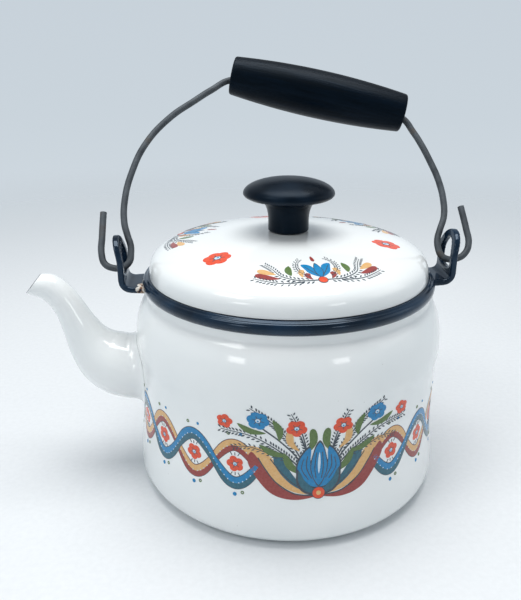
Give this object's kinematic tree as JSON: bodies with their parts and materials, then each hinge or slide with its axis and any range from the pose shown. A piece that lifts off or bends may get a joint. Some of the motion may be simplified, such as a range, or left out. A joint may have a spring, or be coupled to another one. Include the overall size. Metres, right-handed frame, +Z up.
{
  "type": "enamelled tea kettle",
  "caption": "Squat enamelled steel kettle with an S-shaped spout, a dark rolled rim, a domed lid with a mushroom knob and a swinging wire bail with a turned grip.",
  "frame": {"origin": "centre of the flat base, on the surface the kettle stands on", "axes": "+Z up through the lid; the spout points along -X; the two ears and the bail's pivot line lie along X"},
  "size_m": [0.2701, 0.1866, 0.2484],
  "materials": {
    "white_enamel": "glossy vitreous enamel",
    "dark_enamel": "glossy blue-black vitreous enamel",
    "bare_wire": "dull bare steel wire",
    "black_wood": "black stained turned wood, satin",
    "black_phenolic": "moulded black phenolic, soft gloss",
    "brass": "turned brass",
    "zinc_steel": "zinc plated"
  },
  "bodies": {
    "kettle": {"kettle_body": "white_enamel", "rim_band": "dark_enamel", "spout": "white_enamel", "ear_front": "dark_enamel", "ear_rear": "dark_enamel"},
    "lid": {"lid_shell": "white_enamel", "lid_knob": "black_phenolic", "knob_insert": "brass", "knob_washer": "zinc_steel", "knob_screw": "zinc_steel"},
    "bail": {"bail_wire": "bare_wire"},
    "bail_grip": {"grip": "black_wood"}
  },
  "joints": [
    {"name": "bail_swing", "type": "hinge", "parent": "kettle", "child": "bail", "pos_m": [0, 0, 0.1314], "axis": [1, 0, 0], "range_deg": [-58, 126]},
    {"name": "grip_turn", "type": "hinge", "parent": "bail", "child": "bail_grip", "pos_m": [0.02524, 0.06344, 0.22545], "axis": [0.9692, -0.1377, -0.2041], "continuous": true},
    {"name": "lid_lift", "type": "slide", "parent": "kettle", "child": "lid", "axis": [0, 0, 1], "range_m": [0, 0.06]}
  ]
}
